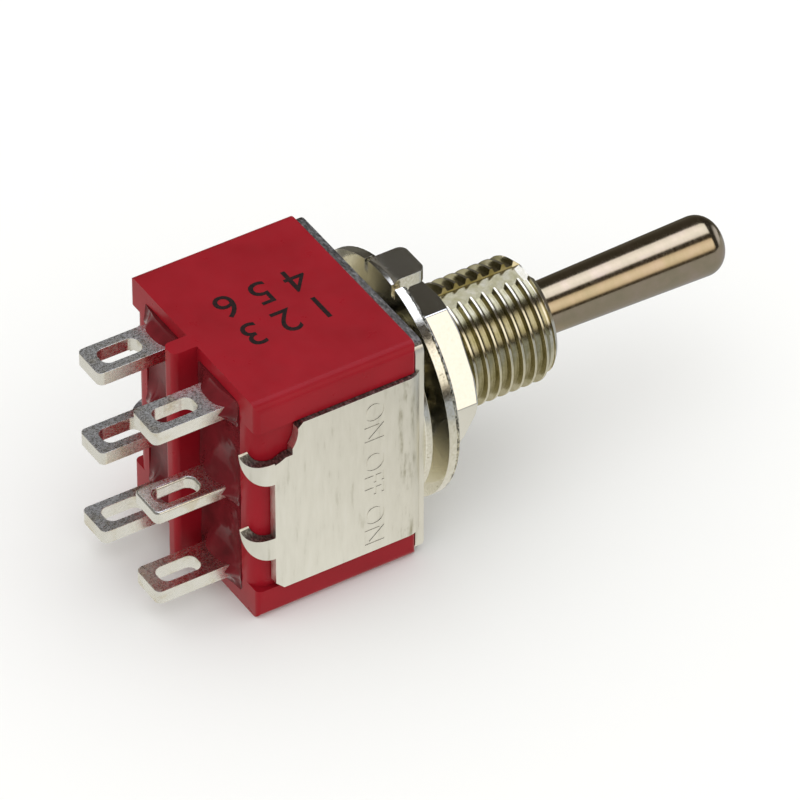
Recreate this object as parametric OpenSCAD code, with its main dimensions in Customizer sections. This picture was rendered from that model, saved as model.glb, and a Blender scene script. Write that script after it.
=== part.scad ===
// Sub-miniature panel toggle switch: two poles, three lever positions, centre off.
// Axes while drawing: X across the poles, Y along the throw, Z out of the panel.
// The finished part is turned so that the throw stands upright and the lever points to -Y.
// The origin lies on the bushing's axis, on the front of the bracket.

/* [Case] */
// Width of the moulded case, across the two poles
case_w = 11; // [10.8:0.1:12]
// Height of the case, along the throw
case_h = 12.6; // [12.4:0.1:14]
// Depth of the case, from the bracket to the back rim
case_d = 8.4; // [8.2:0.1:9]
// Radius of the case's corners, seen from the front
case_corner = 0.5; // [0.3:0.05:0.8]
// Wall round the front cavity
case_wall = 0.95; // [0.7:0.05:1]
// Thickness of the moulded floor that holds the terminals
floor_t = 1.25; // [0.9:0.05:1.4]
// Depth of the sealing wells in the back
well_d = 1.3; // [0.8:0.1:1.4]
// Back wall between a sealing well and the side
well_side = 1.15; // [0.9:0.05:1.3]
// Room in a sealing well beyond its two outer lugs
well_margin = 0.55; // [0.45:0.05:0.6]
// Depth of the side pockets that take the bracket's cheeks
pocket_d = 0.25; // [0.15:0.05:0.4]
// Thickness of the barrier rib on the back
rib_t = 0.9; // [0.6:0.1:1.2]
// Height of the barrier rib above the back rim
rib_h = 1.25; // [0.8:0.05:2]

/* [Bracket] */
// Thickness of the bracket's sheet steel
sheet_t = 0.45; // [0.3:0.05:0.5]
// Height of the front plate
plate_h = 12.3; // [10.5:0.1:12.4]
// Width of the front plate above and below the cheeks
plate_w = 10.8; // [10:0.1:11]
// Radius of the front plate's corners
plate_corner = 0.6; // [0.3:0.05:0.8]
// Height of the cheeks
cheek_h = 9.3; // [8.8:0.1:9.6]
// Outside radius of the fold between plate and cheek
fold_r = 1; // [0.7:0.05:1.2]
// How far the upper end of each cheek stops short of the back rim
cheek_step = 1.75; // [1.2:0.05:2.2]

/* [Claws] */
// Outside radius of the bend of each claw round the case's back edge
claw_r = 1.3; // [1.1:0.05:1.4]
// Height of the upper claw's root above the bushing's axis
claw_y = 2.1; // [1.6:0.1:2.6]
// Distance between the two claws of one cheek
claw_pitch = 4.4; // [3.6:0.1:4.8]
// Radius of a claw's lower, outer edge
claw_belly_r = 1.9; // [1.7:0.05:2]
// Radius of the hollow inside a claw's hook
claw_hollow_r = 0.8; // [0.7:0.05:0.9]
// Height of the strip that each claw is bent from
claw_strip = 4; // [3.8:0.1:4.2]

/* [Bushing] */
// Outside diameter of the bushing's thread, 1/4-40 UNS
bushing_dia = 6.1; // [6:0.01:6.35]
// Diameter of the thread's root, which stands under the nut and the washers
root_dia = 5.56; // [5.5:0.01:5.6]
// Length of the bushing in front of the bracket
bushing_len = 8.9; // [8.2:0.1:12]
// Width of the keyway along the top of the bushing
keyway_w = 1.2; // [0.8:0.1:1.4]
// Depth of the keyway
keyway_d = 0.5; // [0.4:0.05:0.6]
// Chamfer at the bushing's front end
bushing_chamfer = 0.4; // [0.2:0.05:0.5]
// Diameter of the mouth that the lever leaves by
mouth_dia = 4.8; // [4.6:0.1:5]
// Height of the throat above the ball's centre
neck_h = 1.3; // [1.25:0.05:1.4]
// Thickness of the staked flange behind the bracket
flange_t = 0.3; // [0.2:0.05:0.35]
// Diameter of the staked flange
flange_dia = 7.2; // [6.8:0.1:7.6]

/* [Lever] */
// Diameter of the ball that the lever turns on
ball_dia = 4; // [3.8:0.05:4.1]
// Height of the ball's centre above the bracket
ball_z = 4.6; // [4.4:0.1:4.8]
// Length of lever in front of the bushing
lever_len = 10.45; // [8:0.05:14]
// Lever diameter where it leaves the bushing
lever_root_dia = 2.55; // [2.2:0.05:2.6]
// Lever diameter at the tip
lever_tip_dia = 2.96; // [2.7:0.02:3.3]
// Corner radius round the lever's tip
lever_tip_r = 1.05; // [0.5:0.05:1.3]
// Lever diameter in the bushing's throat
throat_dia = 2.2; // [1.9:0.05:2.25]
// Diameter of the lever's tail
tail_dia = 1.6; // [1.3:0.1:1.7]
// Diameter of the two trunnions that keep the ball from twisting
trunnion_dia = 0.9; // [0.8:0.05:1]
// Length over the trunnions
trunnion_len = 4.7; // [4.6:0.05:4.8]
// Swing of the lever to each side, in degrees
throw_angle = 12.5; // [10:0.5:12.5]

/* [Nut and washers] */
// Size of the nut across its flats
nut_af = 7.94; // [7.6:0.02:8.4]
// Thickness of the nut
nut_t = 1.98; // [1.2:0.02:2.2]
// Height of the chamfer on the nut's front corners
nut_chamfer = 0.25; // [0.15:0.05:0.4]
// Bore of the nut, the small diameter of its thread
nut_bore_dia = 5.7; // [5.66:0.01:5.8]
// Turn of the nut about the bushing, in degrees
nut_turn = -5; // [-30:0.1:30]
// Diameter of the locking ring
ring_dia = 12; // [11:0.1:12.4]
// Thickness of the locking ring
ring_t = 0.66; // [0.5:0.02:0.8]
// Radius that the press leaves on the ring's front edge
ring_roll = 0.26; // [0.1:0.02:0.3]
// Gap between the lock washer and the locking ring
ring_gap = 0.6; // [0.3:0.1:1]
// Width of the ring's locating tab
tab_w = 2; // [1.5:0.1:2.5]
// Length of the ring's tab in front of the ring
tab_len = 1.2; // [0.8:0.05:1.6]
// Corner radius at the tab's end
tab_corner = 0.4; // [0.2:0.05:0.6]
// Width of the notches that free the tab for its bend
tab_notch = 0.3; // [0.2:0.05:0.5]
// Diameter of the lock washer
washer_dia = 11.2; // [10:0.1:11.6]
// Thickness of the lock washer
washer_t = 0.4; // [0.3:0.05:0.6]
// Number of inner teeth on the lock washer
washer_teeth = 12; // [8:1:16]

/* [Terminals] */
// Distance between neighbouring terminals of one pole
row_pitch = 4.7; // [4.6:0.05:4.8]
// Distance between the two poles
pole_pitch = 4.83; // [4.8:0.01:4.9]
// Width of a solder lug
lug_w = 2; // [1.8:0.05:2.1]
// Thickness of a solder lug
lug_t = 0.7; // [0.5:0.05:0.8]
// Length of a lug behind the back rim
lug_len = 4; // [3.2:0.05:5]
// Width of the wire slot
slot_w = 1.05; // [0.6:0.05:1.1]
// Length of the wire slot
slot_len = 2.1; // [1.4:0.05:2.2]
// Metal left outside the wire slot
slot_end = 0.6; // [0.5:0.05:1]

/* [Contacts] */
// Height of the rocker's turning axis above the case floor
pivot_h = 0.35; // [0.3:0.05:0.4]
// Width of a contact rocker
rocker_w = 1.9; // [1.6:0.1:2.2]
// Thickness of the rocker's strip
rocker_t = 0.3; // [0.25:0.01:0.32]
// Tilt of a rocker at full throw, in degrees
rocker_angle = 4.5; // [4:0.1:4.8]
// Distance of each contact from the rocker's axis
contact_y = 4.3; // [4.2:0.05:4.4]
// Gap left between closed contacts
contact_gap = 0.05; // [0.03:0.01:0.1]

/* [Actuator] */
// Width of the nylon actuator across both poles
actuator_w = 7.5; // [7.2:0.1:7.8]
// Depth of the actuator along the throw
actuator_h = 2.5; // [2.2:0.1:2.6]
// Length of the actuator along the lever
actuator_len = 2.6; // [2.4:0.1:2.7]
// Gap between the actuator and the bushing's flange
actuator_gap = 0.6; // [0.55:0.05:0.65]
// Depth of the actuator's floor under the lever's tail
tail_floor = 0.6; // [0.5:0.05:0.7]
// Room for each plunger's spring
spring_room = 1.2; // [1.1:0.05:1.3]
// Diameter of a plunger
plunger_dia = 1.48; // [1.4:0.02:1.5]
// Diameter of the plunger springs' wire
wire_dia = 0.2; // [0.15:0.01:0.22]
// Number of turns of each spring
spring_turns = 5; // [4:1:7]

/* [Fits] */
// Running clearance of the ball, the plungers and the pivots, on the radius
running_gap = 0.05; // [0.02:0.01:0.08]
// Clearance of parts that sit still in one another
seat_gap = 0.03; // [0.02:0.01:0.05]
// Clearance between a cheek and the floor of its pocket
cheek_gap = 0.05; // [0.03:0.01:0.1]

/* [Hidden] */
poles = [-1, 1];
rows = [1, 0, -1];
$fn = 96;
over = 1; // how far a cutter runs past the face that it cuts

case_front = -sheet_t;
case_back = case_front - case_d;
well_floor = case_back + well_d;
cavity_floor = well_floor + floor_t;
cavity_w = case_w - 2 * (pocket_d + case_wall);
cavity_h = case_h - 2 * case_wall;
rebate = 0.3; // ledge round the cavity that carries the insulator
well_h = 2 * (row_pitch + lug_t / 2 + well_margin);
pocket_h = cheek_h + 0.04;
side_x = case_w / 2 - pocket_d; // floor of a side pocket

cheek_x = side_x + cheek_gap + sheet_t; // outside of a cheek
claw_axis = [cheek_x - claw_r, case_back - seat_gap - sheet_t + claw_r];
cheek_end = claw_axis[1];
step_z = case_back + cheek_step;
shoulder = 0.9; // height of a cheek's rear edge above the upper claw's root

thread_r = bushing_dia / 2;
root_r = root_dia / 2;
ball_r = ball_dia / 2;
seat_r = ball_r + running_gap;
bore_r = seat_r + running_gap;
neck_z = ball_z + neck_h;
neck_r = sqrt(seat_r * seat_r - neck_h * neck_h);
mouth_r = mouth_dia / 2;
trunnion_r = trunnion_dia / 2;
slot_reach = trunnion_len / 2 + 2 * running_gap; // depth of the slots that guide the trunnions

washer_z = 0;
ring_z = washer_t + ring_gap;
nut_z = ring_z + ring_t;
thread_z = nut_z + nut_t + 0.1; // where the free stretch of thread begins
tab_y = ring_dia / 2 + 0.07; // outside of the ring's tab
tab_t = ring_t;

pivot_z = cavity_floor + pivot_h;
pivot_r = lug_t / 2;
cradle_r = pivot_r + running_gap;
lug_end = case_back - lug_len;
seal_low = 0.25; // how far the resin's flat part lies below the back rim

actuator_top = case_front - flange_t - actuator_gap;
actuator_bottom = actuator_top - actuator_len;
plunger_r = plunger_dia / 2;
spring_roof = actuator_top - 0.4;
plunger_tip = pivot_z + cradle_r + rocker_t + 2 * running_gap;
plunger_top = spring_roof - spring_room;
spring_r = plunger_r - wire_dia / 2 - 0.04;
spigot_r = spring_r - wire_dia / 2 - 0.1;

// Reach of a plunger's round tip from the ball's centre
tip_reach = ball_z - plunger_tip - plunger_r;
// Centre of that tip at full throw, measured from the rocker's axis in the tilted rocker
tip_y = tip_reach * sin(throw_angle);
tip_h = ball_z - pivot_z - tip_reach * cos(throw_angle);
press_y = tip_y * cos(rocker_angle) - tip_h * sin(rocker_angle);
press_h = tip_y * sin(rocker_angle) + tip_h * cos(rocker_angle);
arm_slope = 17; // rise of the rocker's inner arms, in degrees
arm_fall = 8; // fall of the rocker's outer arms, in degrees
arm_knee = 2.7; // where the arm turns down
arm_end = contact_y + 0.6;
arm_offset = press_h * cos(arm_slope) - press_y * sin(arm_slope) - plunger_r - 1.2 * running_gap;
contact_r = 0.7;
button_t = 0.22;
// Underside of a rocker's button above the axis, and the place of the fixed button that it meets
button_h = arm_top(contact_y) - rocker_t / cos(arm_fall) - button_t;
button_low = button_h * cos(rocker_angle) - (contact_y + contact_r) * sin(rocker_angle);
fixed_top = pivot_z + button_low - contact_gap;

// Height of the rocker's upper face above its axis, at a distance y along an arm
function inner_arm(y) = (arm_offset + y * sin(arm_slope)) / cos(arm_slope);
function arm_top(y) = y < arm_knee ? inner_arm(y) : inner_arm(arm_knee) - (y - arm_knee) * tan(arm_fall);

// Rectangle with round corners, centred
module round_rect(w, h, r) {
    square([w - 2 * r, h], center = true);
    square([w, h - 2 * r], center = true);
    for (sx = [-1, 1], sy = [-1, 1])
        translate([sx * (w / 2 - r), sy * (h / 2 - r)])
            circle(r);
}

// Stands the panel's axes upright: the throw along Z, the lever along -Y
module upright() {
    rotate([90, 0, 0])
        children();
}

// Extrudes an outline drawn in X and Z along Y, centred
module along_y(length) {
    rotate([90, 0, 0])
        linear_extrude(length, center = true)
            children();
}

// Extrudes an outline drawn in Y and Z along X, centred
module along_x(length) {
    rotate([90, 0, 90])
        linear_extrude(length, center = true)
            children();
}

// ---------- Case ----------

// Cross-section of the case in X and Z, with its own corner radii
module case_section(w, front_r, back_r) {
    translate([-w / 2, case_back + back_r])
        square([w, case_d - front_r - back_r]);
    translate([-w / 2 + back_r, case_back])
        square([w - 2 * back_r, case_d / 2]);
    translate([-w / 2 + front_r, case_front - case_d / 2])
        square([w - 2 * front_r, case_d / 2]);
    for (s = [-1, 1]) {
        translate([s * (w / 2 - front_r), case_front - front_r])
            circle(front_r);
        translate([s * (w / 2 - back_r), case_back + back_r])
            circle(back_r);
    }
}

module barrier_rib() {
    along_y(case_h) {
        translate([-rib_t / 2, case_back - rib_h + 0.3])
            square([rib_t, rib_h + well_d]);
        translate([-rib_t / 2 + 0.3, case_back - rib_h])
            square([rib_t - 0.6, 1]);
        for (s = [-1, 1])
            translate([s * (rib_t / 2 - 0.3), case_back - rib_h + 0.3])
                circle(0.3);
    }
}

module sealing_well(pole) {
    well_in = rib_t / 2;
    well_out = side_x - well_side;
    translate([pole * (well_in + well_out) / 2, 0, case_back - over])
        linear_extrude(well_d + over)
            round_rect(well_out - well_in, well_h, 0.3);
}

module front_cavity() {
    translate([0, 0, cavity_floor])
        linear_extrude(case_front - cavity_floor + over)
            round_rect(cavity_w, cavity_h, 0.4);
    translate([0, 0, case_front - flange_t])
        linear_extrude(flange_t + over)
            round_rect(cavity_w + 2 * rebate, cavity_h + 2 * rebate, 0.5);
}

module case() {
    divider_top = actuator_bottom - 0.4;
    color("firebrick") {
        difference() {
            union() {
                intersection() {
                    union() {
                        along_y(case_h)
                            case_section(2 * side_x, 0.75, 0.8);
                        for (s = [-1, 1])
                            translate([0, s * (case_h + pocket_h) / 4, 0])
                                along_y((case_h - pocket_h) / 2)
                                    case_section(case_w, 0.25, 0.3);
                    }
                    translate([0, 0, case_back - over])
                        linear_extrude(case_d + 2 * over)
                            round_rect(case_w, case_h, case_corner);
                }
                barrier_rib();
            }
            for (p = poles)
                sealing_well(p);
            front_cavity();
            for (p = poles, r = rows)
                translate([p * pole_pitch / 2, r * row_pitch, 0])
                    cube([lug_w + 2 * seat_gap, lug_t + 2 * seat_gap, 4 * case_d], center = true);
        }
        translate([-0.35, -cavity_h / 2 - 0.2, cavity_floor - 0.2])
            cube([0.7, cavity_h + 0.4, divider_top - cavity_floor + 0.2]);
    }
}

// Fibre sheet between the mechanism and the bracket
module insulator() {
    color("tan")
        translate([0, 0, case_front - flange_t])
            linear_extrude(flange_t)
                difference() {
                    round_rect(cavity_w + 2 * (rebate - seat_gap), cavity_h + 2 * (rebate - seat_gap), 0.5);
                    circle(flange_dia / 2 + seat_gap);
                }
}

// ---------- Bracket ----------

// Outline of one cheek, drawn in Y and Z
module cheek_outline() {
    difference() {
        union() {
            translate([-cheek_h / 2, cheek_end])
                square([claw_y + shoulder + cheek_h / 2, -cheek_end]);
            translate([-cheek_h / 2, step_z])
                square([cheek_h, -step_z]);
        }
        // hollow above the upper claw
        translate([claw_y + 2.15, step_z - 1.2])
            circle(1.5);
        // corners at the back
        translate([cheek_h / 2, step_z])
            rotate(45)
                square(0.8, center = true);
        translate([-cheek_h / 2, cheek_end])
            rotate(45)
                square(0.6, center = true);
    }
}

// Claw seen from behind, in X and Y, for the cheek on the +X side
module claw_outline(y) {
    difference() {
        translate([cheek_x + 0.85, y + 1.25])
            circle(claw_belly_r);
        translate([cheek_x - 0.35, y + 1.5])
            circle(claw_hollow_r);
    }
}

module claw(y) {
    intersection() {
        translate([0, y, 0])
            along_y(claw_strip)
                translate([claw_axis[0], claw_axis[1]])
                    difference() {
                        circle(claw_r);
                        circle(claw_r - sheet_t);
                        translate([-2 * claw_r, 0])
                            square(4 * claw_r);
                        translate([-4 * claw_r, -2 * claw_r])
                            square(4 * claw_r);
                    }
        translate([0, 0, case_back - claw_r - over])
            linear_extrude(2 * (claw_r + over))
                claw_outline(y);
    }
}

module bracket_cheek() {
    intersection() {
        translate([cheek_x - sheet_t / 2, 0, 0])
            along_x(sheet_t)
                cheek_outline();
        translate([0, 0, -fold_r - case_d])
            linear_extrude(case_d)
                square(4 * case_h, center = true);
    }
    for (k = [0, 1])
        claw(claw_y - k * claw_pitch);
}

module bracket_fold() {
    along_y(cheek_h)
        translate([cheek_x - fold_r, -fold_r])
            intersection() {
                difference() {
                    circle(fold_r);
                    circle(fold_r - sheet_t);
                }
                square(2 * fold_r);
            }
}

module bracket() {
    color("gainsboro") {
        difference() {
            translate([0, 0, -sheet_t])
                linear_extrude(sheet_t) {
                    round_rect(plate_w, plate_h, plate_corner);
                    square([2 * (cheek_x - fold_r), cheek_h], center = true);
                }
            cylinder(r = root_r + seat_gap, h = 4 * sheet_t, center = true);
        }
        for (s = [0, 1])
            mirror([s, 0, 0]) {
                bracket_fold();
                bracket_cheek();
            }
    }
}

// ---------- Bushing ----------

module bushing() {
    color("silver")
        difference() {
            rotate_extrude()
                polygon([[0, case_front - flange_t], [flange_dia / 2, case_front - flange_t],
                         [flange_dia / 2, case_front], [root_r, case_front],
                         [root_r, thread_z], [thread_r, thread_z],
                         [thread_r, bushing_len - bushing_chamfer],
                         [thread_r - bushing_chamfer, bushing_len], [0, bushing_len]]);
            translate([0, 0, -over - flange_t])
                cylinder(r = bore_r, h = ball_z + flange_t + over);
            translate([0, 0, ball_z])
                sphere(seat_r);
            // slots for the trunnions, open to the rear
            translate([0, 0, ball_z])
                rotate([0, 90, 0])
                    cylinder(r = trunnion_r + running_gap, h = 2 * slot_reach, center = true);
            translate([-slot_reach, -trunnion_r - running_gap, -over])
                cube([2 * slot_reach, 2 * (trunnion_r + running_gap), ball_z + over]);
            translate([0, 0, neck_z])
                cylinder(r1 = neck_r, r2 = mouth_r, h = bushing_len - neck_z);
            translate([0, 0, bushing_len - 0.001])
                cylinder(r = mouth_r, h = over);
            translate([-keyway_w / 2, thread_r - keyway_d, 0.001])
                cube([keyway_w, 2, bushing_len + over]);
        }
}

// ---------- Lever, actuator and plungers ----------

module lever() {
    tip_z = bushing_len + lever_len;
    color("lightsteelblue") {
        rotate_extrude() {
            polygon([[0, ball_z], [throat_dia / 2, ball_z], [throat_dia / 2, neck_z + 0.1],
                     [lever_root_dia / 2, bushing_len], [lever_tip_dia / 2, tip_z - lever_tip_r],
                     [0, tip_z - lever_tip_r]]);
            translate([lever_tip_dia / 2 - lever_tip_r, tip_z - lever_tip_r])
                intersection() {
                    circle(lever_tip_r);
                    square(2 * lever_tip_r);
                }
            translate([0, tip_z - lever_tip_r - 0.2])
                square([lever_tip_dia / 2 - lever_tip_r, lever_tip_r + 0.2]);
        }
        translate([0, 0, ball_z]) {
            sphere(ball_r);
            rotate([0, 90, 0])
                cylinder(r = trunnion_r, h = trunnion_len, center = true);
        }
        translate([0, 0, actuator_bottom + tail_floor])
            cylinder(d = tail_dia, h = ball_z - actuator_bottom - tail_floor);
    }
}

module actuator() {
    color("ivory")
        difference() {
            along_y(actuator_h)
                translate([0, (actuator_top + actuator_bottom) / 2])
                    round_rect(actuator_w, actuator_len, 0.4);
            translate([0, 0, actuator_bottom + tail_floor - seat_gap])
                cylinder(r = tail_dia / 2 + seat_gap, h = actuator_len);
            for (p = poles)
                translate([p * pole_pitch / 2, 0, actuator_bottom - over])
                    cylinder(r = plunger_r + running_gap, h = spring_roof - actuator_bottom + over);
        }
}

module plunger(pole) {
    color("whitesmoke")
        translate([pole * pole_pitch / 2, 0, 0]) {
            translate([0, 0, plunger_tip + plunger_r]) {
                cylinder(r = plunger_r, h = plunger_top - plunger_tip - plunger_r);
                sphere(plunger_r);
            }
            translate([0, 0, plunger_top - 0.2])
                cylinder(r = spigot_r, h = 0.7);
        }
}

// Coil spring: a round wire swept along a helix
spring_sides = 6;
spring_steps = 14;

function spring_ring(i, low, high) =
    let (turn = i / spring_steps,
         z = low + (high - low) * turn / spring_turns,
         a = 360 * turn)
    [for (k = [0 : spring_sides - 1])
        let (b = 360 * k / spring_sides,
             r = spring_r + wire_dia / 2 * cos(b))
        [r * cos(a), r * sin(a), z + wire_dia / 2 * sin(b)]];

module plunger_spring(pole) {
    low = plunger_top + wire_dia / 2 + 0.02;
    high = spring_roof - wire_dia / 2 - 0.02;
    last = spring_turns * spring_steps;
    points = [for (i = [0 : last]) for (p = spring_ring(i, low, high)) p];
    sides = [for (i = [0 : last - 1]) for (k = [0 : spring_sides - 1])
        let (a = i * spring_sides + k,
             b = i * spring_sides + (k + 1) % spring_sides)
        [a, b, b + spring_sides, a + spring_sides]];
    ends = [[for (k = [spring_sides - 1 : -1 : 0]) k],
            [for (k = [0 : spring_sides - 1]) last * spring_sides + k]];
    color("silver")
        translate([pole * pole_pitch / 2, 0, 0])
            polyhedron(points, concat(sides, ends));
}

// ---------- Rocking contacts ----------

// One arm of a rocker, drawn in Y and Z from the turning axis
module arm_outline() {
    drop_in = rocker_t / cos(arm_slope);
    drop_out = rocker_t / cos(arm_fall);
    polygon([[cradle_r, inner_arm(cradle_r) - drop_in], [cradle_r, inner_arm(cradle_r)],
             [arm_knee, arm_top(arm_knee)], [arm_end, arm_top(arm_end)],
             [arm_end, arm_top(arm_end) - drop_out], [arm_knee, arm_top(arm_knee) - drop_in]]);
}

module rocker(pole) {
    color("gold")
        translate([pole * pole_pitch / 2, 0, pivot_z]) {
            along_x(rocker_w) {
                difference() {
                    union() {
                        circle(cradle_r + rocker_t);
                        for (s = [0, 1])
                            mirror([s, 0])
                                arm_outline();
                    }
                    circle(cradle_r);
                    translate([-2, -2 - 0.1])
                        square([4, 2]);
                    translate([-cradle_r, -1])
                        square([2 * cradle_r, 1]);
                }
            }
            for (s = [-1, 1])
                translate([0, s * contact_y, button_h])
                    cylinder(r = contact_r, h = button_t + rocker_t / 2);
        }
}

// ---------- Terminals ----------

module lug_blank(top) {
    corner = 0.3;
    difference() {
        translate([-lug_w / 2, -lug_t / 2, lug_end])
            cube([lug_w, lug_t, top - lug_end]);
        // wire slot
        along_y(4 * lug_t)
            translate([0, lug_end + slot_end + slot_len / 2])
                round_rect(slot_w, slot_len, 0.4);
        // corners at the solder end
        for (s = [0, 1])
            mirror([s, 0, 0])
                along_y(2 * lug_t)
                    translate([lug_w / 2 - corner, lug_end + corner])
                        difference() {
                            translate([0, -2 * corner])
                                square(2 * corner);
                            circle(corner);
                        }
    }
}

// End terminal: its foot lies on the case floor and carries the fixed button
module end_terminal() {
    foot_t = fixed_top - button_t - cavity_floor;
    lug_blank(cavity_floor + foot_t);
    translate([-lug_w / 2, contact_y - row_pitch - contact_r - 0.1, cavity_floor])
        cube([lug_w, row_pitch - contact_y + contact_r + 0.1, foot_t]);
    translate([0, contact_y - row_pitch, fixed_top - button_t])
        cylinder(r = contact_r, h = button_t);
}

// Common terminal: its round inner edge is the knife edge that a rocker turns on
module common_terminal() {
    lug_blank(pivot_z);
    translate([0, 0, pivot_z])
        rotate([0, 90, 0])
            cylinder(r = pivot_r, h = lug_w, center = true);
}

module terminal(pole, row) {
    color("lightgray")
        translate([pole * pole_pitch / 2, row * row_pitch, 0])
            if (row == 0)
                common_terminal();
            else
                mirror([0, row < 0 ? 1 : 0, 0])
                    end_terminal();
}

// ---------- Seal ----------

// Resin that climbs a lug: a mound with hollow sides
module seal_mound(rise) {
    base = case_back + seal_low;
    hollow = 0.7;
    intersection() {
        along_y(lug_t + 2 * hollow)
            mound_outline(lug_w, base, rise);
        along_x(lug_w + 2 * hollow)
            mound_outline(lug_t, base, rise);
    }
}

module mound_outline(w, base, rise) {
    difference() {
        translate([-w / 2 - rise, base - rise])
            square([w + 2 * rise, rise + 0.3]);
        for (s = [-1, 1])
            translate([s * (w / 2 + 0.08 + rise), base - rise])
                circle(rise);
    }
}

// Resin of one well: flat between the lugs, with a mound round each of them
module terminal_seal(pole) {
    well_in = rib_t / 2;
    well_out = side_x - well_side;
    rise = 0.6;
    color([0.35, 0.1, 0.1])
        difference() {
            intersection() {
                union() {
                    translate([pole * (well_in + well_out) / 2, 0, well_floor - (well_d - seal_low) / 2])
                        cube([case_w, case_h, well_d - seal_low], center = true);
                    for (r = rows)
                        translate([pole * pole_pitch / 2, r * row_pitch, 0])
                            seal_mound(rise);
                }
                translate([pole * (well_in + well_out) / 2, 0, case_back - 2 * rise])
                    linear_extrude(well_d + 4 * rise)
                        round_rect(well_out - well_in - 2 * seat_gap, well_h - 2 * seat_gap, 0.3);
            }
            for (r = rows)
                translate([pole * pole_pitch / 2, r * row_pitch, 0])
                    cube([lug_w, lug_t, 4 * case_d], center = true);
        }
}

// ---------- Nut and washers ----------

module lock_washer() {
    inner_r = thread_r + 0.1;
    color("lightgray")
        translate([0, 0, washer_z])
            linear_extrude(washer_t)
                difference() {
                    circle(washer_dia / 2);
                    circle(inner_r);
                    for (i = [0 : washer_teeth - 1])
                        rotate(360 * (i + 0.5) / washer_teeth)
                            translate([inner_r + 0.2, 0])
                                square([1, 0.8], center = true);
                }
}

module locking_ring() {
    key_r = thread_r - keyway_d + 0.1;
    inner_r = thread_r + 0.1;
    rim_r = ring_dia / 2;
    bend = 0.5;
    color("silver") {
        translate([0, 0, ring_z]) {
            difference() {
                rotate_extrude()
                    union() {
                        translate([inner_r, 0])
                            square([rim_r - inner_r, ring_t - ring_roll]);
                        translate([inner_r, 0])
                            square([rim_r - inner_r - ring_roll, ring_t]);
                        translate([rim_r - ring_roll, ring_t - ring_roll])
                            circle(ring_roll);
                    }
                for (side = [-1, 1])
                    translate([side * (tab_w + tab_notch) / 2, tab_y, ring_t / 2])
                        cube([tab_notch, 2 * ring_t + 0.3, 2 * ring_t], center = true);
            }
            translate([-keyway_w / 2 + 0.05, key_r, 0])
                cube([keyway_w - 0.1, 1, ring_t]);
        }
        // tab that drops into the panel's anti-turn hole, bent forward with a round outer corner
        intersection() {
            along_x(tab_w) {
                translate([tab_y - tab_t, ring_z + bend])
                    square([tab_t, ring_t + tab_len - bend]);
                translate([tab_y - tab_t - 0.6, ring_z])
                    square([tab_t + 0.6 - bend, ring_t]);
                translate([tab_y - bend, ring_z + bend])
                    circle(bend);
            }
            translate([0, 0, ring_z + ring_t + tab_len - ring_dia])
                along_y(2 * ring_dia)
                    round_rect(tab_w, 2 * ring_dia, tab_corner);
        }
    }
}

module hex_nut() {
    corner_r = nut_af / 2 / cos(30);
    color("silver")
        translate([0, 0, nut_z])
            difference() {
                intersection() {
                    rotate(nut_turn)
                        cylinder(r = corner_r, h = nut_t, $fn = 6);
                    rotate_extrude()
                        polygon([[0, 0], [corner_r + 0.05, 0], [corner_r + 0.05, nut_t - nut_chamfer],
                                 [corner_r - 2 * nut_chamfer, nut_t], [0, nut_t]]);
                }
                translate([0, 0, -over])
                    cylinder(d = nut_bore_dia, h = nut_t + 2 * over);
            }
}

upright() case();
upright() insulator();
upright() bracket();
upright() bushing();
upright() lever();
upright() actuator();
upright() plunger(poles[0]);  // plunger_1
upright() plunger(poles[1]);  // plunger_2
upright() plunger_spring(poles[0]);  // plunger_spring_1
upright() plunger_spring(poles[1]);  // plunger_spring_2
upright() rocker(poles[0]);  // rocker_1
upright() rocker(poles[1]);  // rocker_2
upright() terminal(poles[0], rows[0]);  // terminal_1
upright() terminal(poles[0], rows[1]);  // terminal_2
upright() terminal(poles[0], rows[2]);  // terminal_3
upright() terminal(poles[1], rows[0]);  // terminal_4
upright() terminal(poles[1], rows[1]);  // terminal_5
upright() terminal(poles[1], rows[2]);  // terminal_6
upright() terminal_seal(poles[0]);  // terminal_seal_1
upright() terminal_seal(poles[1]);  // terminal_seal_2
upright() lock_washer();
upright() locking_ring();
upright() hex_nut();
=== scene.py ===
import math
import bpy
from mathutils import Matrix, Vector


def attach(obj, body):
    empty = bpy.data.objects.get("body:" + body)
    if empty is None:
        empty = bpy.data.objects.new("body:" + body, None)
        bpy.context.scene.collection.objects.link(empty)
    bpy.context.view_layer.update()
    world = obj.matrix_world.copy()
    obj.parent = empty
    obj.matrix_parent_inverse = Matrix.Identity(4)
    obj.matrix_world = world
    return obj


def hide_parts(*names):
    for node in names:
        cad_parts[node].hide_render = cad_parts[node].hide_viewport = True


# Looks of a sub-miniature panel toggle switch. The throw stands along Z and the lever
# points to -Y. Sizes below are in millimetres of the panel: x across the poles, y along
# the throw, z out of the panel.

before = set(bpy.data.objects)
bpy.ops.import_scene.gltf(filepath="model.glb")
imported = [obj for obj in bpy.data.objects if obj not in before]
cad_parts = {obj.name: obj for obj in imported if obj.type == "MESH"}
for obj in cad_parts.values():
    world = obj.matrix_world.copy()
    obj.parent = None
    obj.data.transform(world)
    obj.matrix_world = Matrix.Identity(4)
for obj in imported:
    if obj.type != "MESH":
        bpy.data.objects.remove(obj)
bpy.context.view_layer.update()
mm = 0.001
print("stage: frame loaded")


def spot(x, y, z):
    # from the panel's millimetres to the scene's metres
    return Vector((x * mm, -z * mm, y * mm))


# ---------- workshop ----------

def clearSelection():
    if bpy.context.mode != "OBJECT":
        bpy.ops.object.mode_set(mode="OBJECT")
    bpy.ops.object.select_all(action="DESELECT")


def pickOnly(piece):
    clearSelection()
    piece.select_set(True)
    bpy.context.view_layer.objects.active = piece


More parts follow.
